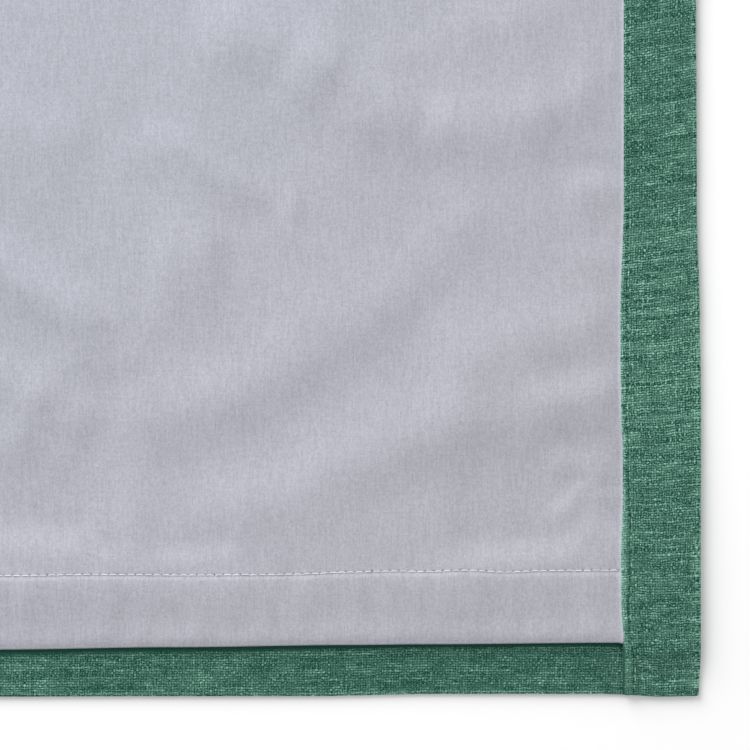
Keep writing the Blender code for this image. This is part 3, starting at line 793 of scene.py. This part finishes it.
# The soft ridges of the lining. Each crest runs from one end to the other, as distances
# in from the right side and up from the lower edge, and bows down and to the right. Its
# flank above the crest and the one below have their own widths.
Ridge = namedtuple("Ridge", "inboard_a up_a inboard_b up_b bow above below height")
RIDGES = (
    Ridge(0.194, 0.270, 0.148, 0.253, 0.000, 0.016, 0.016, 0.0025),
    Ridge(0.156, 0.254, 0.120, 0.230, 0.000, 0.013, 0.019, 0.0027),
    Ridge(0.122, 0.226, 0.097, 0.228, 0.001, 0.012, 0.012, 0.0017),
    Ridge(0.099, 0.229, 0.061, 0.230, 0.001, 0.015, 0.017, 0.0018),
    Ridge(0.065, 0.230, 0.042, 0.243, 0.001, 0.011, 0.012, 0.0011),
    Ridge(0.045, 0.244, 0.030, 0.254, 0.000, 0.010, 0.009, 0.0006),
    Ridge(0.129, 0.256, 0.103, 0.258, 0.000, 0.007, 0.007, 0.0005),
    Ridge(0.101, 0.268, 0.061, 0.270, 0.000, 0.010, 0.021, 0.0009),
    Ridge(0.215, 0.226, 0.179, 0.201, 0.000, 0.005, 0.010, 0.0014),
    Ridge(0.217, 0.177, 0.192, 0.176, 0.000, 0.013, 0.022, 0.0014),
    Ridge(0.165, 0.196, 0.159, 0.196, 0.000, 0.006, 0.007, 0.0006),
    Ridge(0.295, 0.179, 0.241, 0.148, 0.000, 0.010, 0.010, 0.0024),
    Ridge(0.295, 0.136, 0.263, 0.118, 0.000, 0.009, 0.013, 0.0018),
    Ridge(0.267, 0.120, 0.244, 0.108, 0.000, 0.010, 0.022, 0.0011),
    Ridge(0.295, 0.110, 0.268, 0.101, 0.000, 0.010, 0.012, 0.0010),
    Ridge(0.255, 0.138, 0.223, 0.134, 0.000, 0.014, 0.008, 0.0009),
    Ridge(0.295, 0.226, 0.249, 0.222, 0.000, 0.014, 0.030, 0.0013),
    Ridge(0.229, 0.113, 0.185, 0.117, 0.001, 0.016, 0.015, 0.0018),
    Ridge(0.189, 0.116, 0.159, 0.137, 0.000, 0.014, 0.014, 0.0014),
    Ridge(0.163, 0.136, 0.119, 0.162, 0.000, 0.020, 0.014, 0.0014),
    Ridge(0.123, 0.161, 0.084, 0.196, 0.000, 0.011, 0.011, 0.0008),
    Ridge(0.199, 0.074, 0.147, 0.089, 0.001, 0.015, 0.014, 0.0014),
    Ridge(0.151, 0.088, 0.097, 0.111, 0.001, 0.018, 0.016, 0.0023),
    Ridge(0.103, 0.110, 0.059, 0.117, 0.000, 0.022, 0.017, 0.0025),
    Ridge(0.065, 0.116, 0.030, 0.123, 0.001, 0.009, 0.016, 0.0024),
    Ridge(0.099, 0.137, 0.031, 0.150, 0.001, 0.013, 0.014, 0.0017),
    Ridge(0.060, 0.091, 0.035, 0.093, 0.000, 0.006, 0.006, 0.0010),
    Ridge(0.061, 0.068, 0.041, 0.088, 0.000, 0.004, 0.004, 0.0007),
    Ridge(0.042, 0.088, 0.028, 0.089, 0.000, 0.003, 0.004, 0.0005),
    Ridge(0.043, 0.079, 0.028, 0.080, 0.000, 0.004, 0.004, 0.0008),
    Ridge(0.040, 0.061, 0.028, 0.062, 0.000, 0.006, 0.005, 0.0012),
    Ridge(0.051, 0.202, 0.028, 0.202, 0.000, 0.005, 0.010, 0.0009),
    Ridge(0.053, 0.213, 0.028, 0.212, 0.000, 0.004, 0.004, -0.0004),
    Ridge(0.053, 0.174, 0.028, 0.173, 0.000, 0.006, 0.011, 0.0007),
    Ridge(0.350, 0.262, 0.310, 0.226, 0.000, 0.010, 0.014, 0.0013),
    Ridge(0.386, 0.236, 0.330, 0.244, 0.002, 0.012, 0.009, 0.0010),
    Ridge(0.372, 0.152, 0.296, 0.176, 0.003, 0.015, 0.019, 0.0017),
    Ridge(0.404, 0.096, 0.330, 0.112, 0.002, 0.012, 0.014, 0.0014),
    Ridge(0.380, 0.300, 0.236, 0.352, 0.010, 0.020, 0.024, 0.0019),
    Ridge(0.246, 0.356, 0.128, 0.432, 0.006, 0.018, 0.015, 0.0017),
    Ridge(0.214, 0.326, 0.120, 0.350, -0.004, 0.014, 0.018, 0.0014),
    Ridge(0.120, 0.300, 0.046, 0.318, 0.002, 0.012, 0.016, 0.0012),
    Ridge(0.096, 0.394, 0.040, 0.380, 0.001, 0.011, 0.014, 0.0012),
    Ridge(0.170, 0.456, 0.062, 0.462, 0.004, 0.015, 0.018, 0.0015),
    Ridge(0.476, 0.214, 0.404, 0.330, -0.008, 0.020, 0.023, 0.0017),
    Ridge(0.410, 0.322, 0.372, 0.412, 0.004, 0.016, 0.014, 0.0012),
    Ridge(0.352, 0.428, 0.262, 0.398, -0.003, 0.013, 0.017, 0.0012),
    Ridge(0.556, 0.124, 0.452, 0.172, 0.008, 0.018, 0.015, 0.0018),
    Ridge(0.520, 0.180, 0.488, 0.262, 0.003, 0.012, 0.015, 0.0010),
    Ridge(0.640, 0.108, 0.560, 0.162, 0.006, 0.022, 0.018, 0.0017),
    Ridge(0.700, 0.150, 0.618, 0.196, -0.004, 0.014, 0.018, 0.0014),
    Ridge(0.790, 0.096, 0.704, 0.132, 0.005, 0.016, 0.013, 0.0014),
    Ridge(0.812, 0.186, 0.736, 0.158, 0.002, 0.012, 0.014, 0.0012),
    Ridge(0.630, 0.248, 0.548, 0.226, -0.002, 0.012, 0.017, 0.0012),
    Ridge(0.806, 0.282, 0.686, 0.322, 0.010, 0.020, 0.024, 0.0018),
    Ridge(0.684, 0.318, 0.572, 0.384, 0.006, 0.022, 0.018, 0.0018),
    Ridge(0.590, 0.306, 0.500, 0.322, -0.003, 0.014, 0.013, 0.0012),
    Ridge(0.796, 0.366, 0.742, 0.404, 0.002, 0.013, 0.015, 0.0012),
    Ridge(0.680, 0.432, 0.540, 0.470, 0.010, 0.022, 0.020, 0.0018),
    Ridge(0.552, 0.462, 0.384, 0.552, 0.008, 0.020, 0.024, 0.0017),
    Ridge(0.508, 0.418, 0.432, 0.446, 0.003, 0.012, 0.014, 0.0012),
    Ridge(0.806, 0.468, 0.726, 0.452, 0.002, 0.013, 0.016, 0.0012),
    Ridge(0.284, 0.498, 0.160, 0.556, -0.006, 0.019, 0.017, 0.0016),
    Ridge(0.176, 0.548, 0.062, 0.594, -0.005, 0.017, 0.021, 0.0016),
    Ridge(0.330, 0.520, 0.288, 0.584, 0.003, 0.013, 0.012, 0.0010),
    Ridge(0.112, 0.512, 0.040, 0.506, 0.001, 0.012, 0.013, 0.0011),
    Ridge(0.800, 0.538, 0.640, 0.642, 0.008, 0.022, 0.018, 0.0016),
    Ridge(0.646, 0.560, 0.566, 0.548, -0.002, 0.013, 0.017, 0.0012),
    Ridge(0.486, 0.606, 0.420, 0.642, 0.002, 0.014, 0.016, 0.0012),
    Ridge(0.560, 0.612, 0.410, 0.690, 0.012, 0.021, 0.024, 0.0019),
    Ridge(0.404, 0.668, 0.276, 0.742, 0.006, 0.020, 0.017, 0.0016),
    Ridge(0.318, 0.640, 0.242, 0.622, -0.002, 0.012, 0.016, 0.0012),
    Ridge(0.216, 0.650, 0.122, 0.672, 0.003, 0.014, 0.018, 0.0013),
    Ridge(0.232, 0.702, 0.074, 0.800, 0.008, 0.019, 0.016, 0.0016),
    Ridge(0.786, 0.664, 0.706, 0.706, 0.003, 0.014, 0.018, 0.0013),
    Ridge(0.794, 0.722, 0.660, 0.786, -0.006, 0.020, 0.018, 0.0015),
    Ridge(0.672, 0.776, 0.576, 0.822, -0.004, 0.016, 0.019, 0.0014),
    Ridge(0.600, 0.722, 0.530, 0.738, 0.002, 0.012, 0.014, 0.0011),
    Ridge(0.500, 0.770, 0.400, 0.796, 0.004, 0.014, 0.017, 0.0013),
    Ridge(0.352, 0.808, 0.270, 0.836, -0.003, 0.013, 0.015, 0.0012),
    Ridge(0.180, 0.826, 0.110, 0.846, 0.002, 0.012, 0.014, 0.0011),
)
RIDGE_FADE = 0.022
LONGEST_FADE = 0.030


def ridge_height(ridge, inboard, up):
    """How high one soft ridge lifts the lining at many places."""
    across = ridge.inboard_a - ridge.inboard_b
    rise = ridge.up_b - ridge.up_a
    length = np.hypot(across, rise)
    from_a = (ridge.inboard_a - inboard, up - ridge.up_a)
    along = (from_a[0] * across + from_a[1] * rise) / length
    below = (from_a[0] * rise - from_a[1] * across) / length
    share = along / length
    below = below - ridge.bow * 4.0 * share * (1.0 - share)
    width = np.where(below > 0.0, ridge.below, ridge.above)
    fade = min(0.5 * length, LONGEST_FADE)
    ends = ease(along / fade + 0.5) * ease((length - along) / fade + 0.5)
    return ridge.height * ends * bump(below, width)


def lining_relief(inboard, up):
    """All ridges together, lower beside the side hems and gone under every hem."""
    from_side = np.minimum(inboard, WIDTH - inboard)
    side = ease((from_side - SIDE_HEM + 0.0045) / 0.005)
    side = side * (1.0 - 0.4 * (1.0 - ease((from_side - SIDE_HEM) / 0.014)))
    ends = ease(np.minimum(DROP - HEADING - up, up - BOTTOM_HEM + 0.008) / RIDGE_FADE)
    ridges = sum(ridge_height(ridge, inboard, up) for ridge in RIDGES)
    return side * ends * (ridges + uneven(inboard, up))


def uneven(inboard, up):
    """The small unevenness of loose cloth, over large and small patches."""
    wide = 0.00035 * drift(inboard, up, 0.045, 1.0) + 0.00017 * drift(inboard, up, 0.018, 2.0)
    return 0.0001 + wide + 0.00005 * drift(inboard, up, 0.008, 3.0)


def hem_puckers(inboard, run):
    """Short upright puckers of the lining's hem, where its seam draws it in."""
    reach = ease(run / 0.006) * ease((LINING_SEAM + 0.009 - run) / 0.012)
    wide = 0.00042 * drift(inboard, run, 0.040, 6.0) * ease((run - 0.004) / 0.010)
    upright = 0.00050 * drift(inboard * 3.2, run, 0.030, 4.0)
    return reach * (wide + upright + 0.00016 * drift(inboard * 3.0, run, 0.012, 5.0))


# Near the right side the lining's lower edge is lifted by RIGHT_LIFT. Beside a side hem
# it bulges, and under the hem it lies lower. Past its own hem it falls a second time.
RIGHT_LIFT = 0.00062
SIDE_BULGE = 0.00075
BULGE_WIDTH = 0.0011
UNDER_HEM_DROP = 0.0008
LAST_FALL = 0.041
LAST_REACH = 0.034


def lining_place(inboard, run):
    """Where points of the lining's upper layer lie, by distance in and up its length."""
    rise = read(EDGES, inboard, "lining_rise") + FOLD_REACH
    spare = (rise - LINING_RISE) * (1.0 - ease(run / 0.3))
    up = LINING_RISE + spare + run
    from_seam = run - read(SEAM_RUN, inboard, "run")
    z = BACK + read(HEM_LEVEL, LINING_SEAM + from_seam, "height")
    z = z - EDGE_DROP * np.maximum(1.0 - run / 0.006, 0.0) ** 3
    z = z + RIGHT_LIFT * ease((0.260 - inboard) / 0.120) * (1.0 - ease(run / 0.023))
    z = z - SEAM_STEP * ease((from_seam + 0.0016) / 0.0017)
    first, start, reach = (read(LINING_FALL, inboard, name) for name in ("first", "start", "reach"))
    z = z - first * ease((run - start) / reach)
    z = z - (FALL_HEIGHT - first) * ease((run - LAST_FALL) / LAST_REACH)
    z = z + lining_relief(inboard, up) + hem_puckers(inboard, run)
    hem = np.where(inboard < WIDTH / 2, read(SIDES, up, "right_hem"), read(SIDES, up, "left_hem"))
    from_hem = np.minimum(inboard, WIDTH - inboard) - SIDE_HEM - hem + 0.0005
    under_hem = ease(-from_hem / 0.0007)
    z = z + SIDE_BULGE * bump(np.maximum(from_hem, 0.0), BULGE_WIDTH) * (1.0 - under_hem)
    z = z - UNDER_HEM_DROP * under_hem * (1.0 - ease((run - 0.030) / 0.020))
    x, y = swell(WIDTH / 2 - inboard, up - DROP / 2)
    return x, y, z


# The lines of the lining are close beside the right hem, along the seam and over the
# corner, which ends FINE_IN in and FINE_UP up; past it they are COARSE_PITCH apart.
FINE_PITCH = 0.0026
COARSE_PITCH = 0.0070
FINE_IN = 0.300
FINE_UP = 0.290
HEM_FOLD = 0.0011
HEM_MARKS = (LINING_HEM, 0.020, 0.010, 0.003)
FOLD_STEPS = 8


def make_lining():
    """The sheet: its turned hem, the round of its lower edge, and its whole length."""
    left = (0.0335, 0.0320, 0.0310, 0.0300, 0.0290, 0.0265, 0.0210, LINING_SIDE_TUCK)
    inboards = [LINING_SIDE_TUCK, 0.022, 0.0265] + even_marks(0.0280, 0.0345, 0.0005)
    inboards += even_marks(0.0360, FINE_IN, FINE_PITCH)
    inboards += even_marks(FINE_IN, WIDTH - 0.0355, COARSE_PITCH)[1:] + [WIDTH - mark for mark in left]
    inboards = np.array(inboards)[::-1]
    seam = (0.0257, 0.0265, 0.0271, 0.0276, 0.0280, 0.0284, 0.0289, 0.0295, 0.0303)
    runs = [0.0004, 0.0010, 0.0018, 0.0028, 0.0042, 0.0060, *even_marks(0.0080, 0.0245, 0.0025), *seam]
    runs += even_marks(0.0326, FINE_UP, FINE_PITCH)
    runs += even_marks(FINE_UP, LINING_TOP - LINING_RISE, COARSE_PITCH)[1:]
    runs = np.array(runs)[:, None]
    seam_run = read(SEAM_RUN, inboards[None, :], "run")
    runs = runs + (seam_run - LINING_SEAM) * bump(runs - LINING_SEAM, 0.012)
    x, y, z = lining_place(inboards[None, :], runs)
    under = z[0] - HEM_FOLD
    low = z[0] - under
    hem_level = BACK + PLY + 0.0009 + 0.0 * x[0]
    hem = [(x[0], y[0] + back, hem_level, -back) for back in HEM_MARKS]
    for step in range(FOLD_STEPS):
        angle = np.pi * (step + 0.5) / FOLD_STEPS
        fold_y = y[0] - low / 2 * np.sin(angle)
        fold_z = under + low / 2 * (1.0 - np.cos(angle))
        hem.append((x[0], fold_y, fold_z, 0.0))
    *hem_rows, cut = zip(*hem)
    x, y, z = (np.vstack([rows, whole]) for rows, whole in zip(hem_rows, (x, y, z)))
    cut_v = np.vstack([np.array(cut)[:, None] + 0.0 * x[:len(cut)], runs])
    cut_u = np.broadcast_to(-inboards[None, :], x.shape)
    seam_v = cut_v - seam_run
    return cloth_piece("lining_sheet", (x, y, z), (cut_u, cut_v), (cut_u, seam_v), LINING_THICKNESS)


LILAC_GREY = (0.472, 0.471, 0.530, 1.0)
LILAC_DARK = (0.298, 0.298, 0.337, 1.0)
LILAC_COOL = (0.982, 1.005, 1.022, 1.0)
NEEDLE_DARK = (0.080, 0.080, 0.100, 1.0)


def lining_finish():
    """A close weave that shows only as faint streaks down the length of the lining."""
    material, tree, shader = new_finish("lilac grey lining", 0.7)
    cut, seam = (put(tree, "ShaderNodeUVMap", uv_map=name).outputs[0] for name in ("cut", "seam"))
    yarns = used(tree, yarn_lay, {"Cut": cut, "Pitch": 0.0006, "Waver": 0.5})[0]
    down = used(tree, yarn_tone, {"Yarns": crossed(tree, yarns), "Length": 3.0})[0]
    across = used(tree, yarn_tone, {"Yarns": yarns, "Length": 2.5})[0]
    grain = ranged(tree, patches(tree, cut, 1400.0, 2.0), 0.30, 0.70, 0.0, 1.0, "LINEAR")
    tone = maths(tree, "MULTIPLY_ADD", down, 0.40, maths(tree, "MULTIPLY", across, 0.22))
    tone = maths(tree, "MULTIPLY_ADD", grain, 0.38, tone)
    colour = mixed(tree, tone, LILAC_DARK, LILAC_GREY)
    cut_x, cut_up = parts(tree, cut)
    from_corner = maths(tree, "SUBTRACT", cut_up, cut_x)
    cool = mixed(tree, 1.0, colour, LILAC_COOL, "MULTIPLY")
    colour = mixed(tree, ranged(tree, from_corner, 0.10, 0.50, 0.0, 1.0), colour, cool)
    # The lining is painted a little darker over its hem, below the seam.
    hem_darker = ranged(tree, parts(tree, seam)[1], -0.0020, 0.0, 0.962, 1.0)
    hem_darker = put(tree, "ShaderNodeCombineColor", {0: hem_darker, 1: hem_darker, 2: hem_darker}).outputs[0]
    colour = mixed(tree, 1.0, colour, hem_darker, "MULTIPLY")
    marks = used(tree, needle_marks, {"Seam": seam, "Side": 0.00058})
    colour = mixed(tree, maths(tree, "MULTIPLY", marks["Hole"], 0.95), colour, NEEDLE_DARK)
    tree.links.new(colour, shader.inputs["Base Color"])
    drawn = {"Height": marks["Draw"], "Strength": 0.5, "Distance": 0.0004}
    drawn = put(tree, "ShaderNodeBump", drawn, invert=True)
    tree.links.new(drawn.outputs[0], shader.inputs["Normal"])
    shader.inputs["Sheen Weight"].default_value = 0.05
    return material


lining_sheet = make_lining()
lining_sheet.data.materials.append(lining_finish())
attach(lining_sheet, "root")
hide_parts("lining")

# The lining's hem seam: the same lock stitch in pale lilac thread, in a groove of its own.
# Its stitches meet end to end, almost straight, a little above the line of the groove.

LILAC_STITCH = 1.10
LILAC_ASKEW = 0.00014
ABOVE_GROOVE = 0.0004
PROUD = 0.00008

lilac_thread = thread_finish("lilac thread", (0.600, 0.600, 0.650, 1.0), (0.740, 0.740, 0.780, 1.0))
seam_inboard = np.arange(9.5 * STITCH_PITCH, WIDTH - SIDE_HEM - 0.002, STITCH_PITCH)
seam_run = read(SEAM_RUN, seam_inboard, "run") + ABOVE_GROOVE
seam_x, seam_y, seam_z = lining_place(seam_inboard, seam_run)
seam_z = seam_z + LINING_THICKNESS / 2 + PROUD
lining_seam = sew("lining_seam", seam_x, seam_y, seam_z, LILAC_STITCH, LILAC_ASKEW)
lining_seam.data.materials.append(lilac_thread)
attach(lining_seam, "root")

# The floor, the light and the camera: a plain pale floor, a large soft light from the
# upper left, a pale surround, and the camera straight above the lower right corner.

FIELD = 0.300
VIEW_X = WIDTH / 2 - 0.1294
VIEW_Y = 0.1282 - DROP / 2
LENS = 130.0
SENSOR = 36.0
FLOOR_SIZE = 12.0
KEY_PLACE = Vector((-1.75, 2.35, 1.25))
KEY_SIZE = 2.7
KEY_POWER = 138.0
SURROUND = 0.70

bpy.ops.mesh.primitive_plane_add(size=FLOOR_SIZE, location=(0.0, 0.0, 0.0))
floor = bpy.context.object
floor.name = "floor"
floor_material, _, floor_shader = new_finish("pale floor", 0.9)
floor_shader.inputs["Base Color"].default_value = (0.905, 0.905, 0.905, 1.0)
floor_shader.inputs["Specular IOR Level"].default_value = 0.1
floor.data.materials.append(floor_material)

target = Vector((VIEW_X, VIEW_Y, 0.0))
key_data = bpy.data.lights.new("key", "AREA")
key_data.shape = "DISK"
key_data.size = KEY_SIZE
key_data.energy = KEY_POWER
key = add_object("key", key_data)
key.location = target + KEY_PLACE
key.rotation_euler = (target - key.location).to_track_quat("-Z", "Y").to_euler()
key.visible_camera = False

surround = bpy.data.worlds.new("surround")
surround.use_nodes = True
surround.node_tree.nodes["Background"].inputs["Color"].default_value = (1.0, 1.0, 1.0, 1.0)
surround.node_tree.nodes["Background"].inputs["Strength"].default_value = SURROUND
bpy.context.scene.world = surround
bpy.context.scene.view_settings.view_transform = "Standard"

camera_data = bpy.data.cameras.new("camera")
camera_data.lens = LENS
camera_data.sensor_width = SENSOR
camera_data.clip_start = 0.05
camera = add_object("camera", camera_data)
camera.location = (VIEW_X, VIEW_Y, 0.003 + FIELD * LENS / SENSOR)
bpy.context.scene.camera = camera
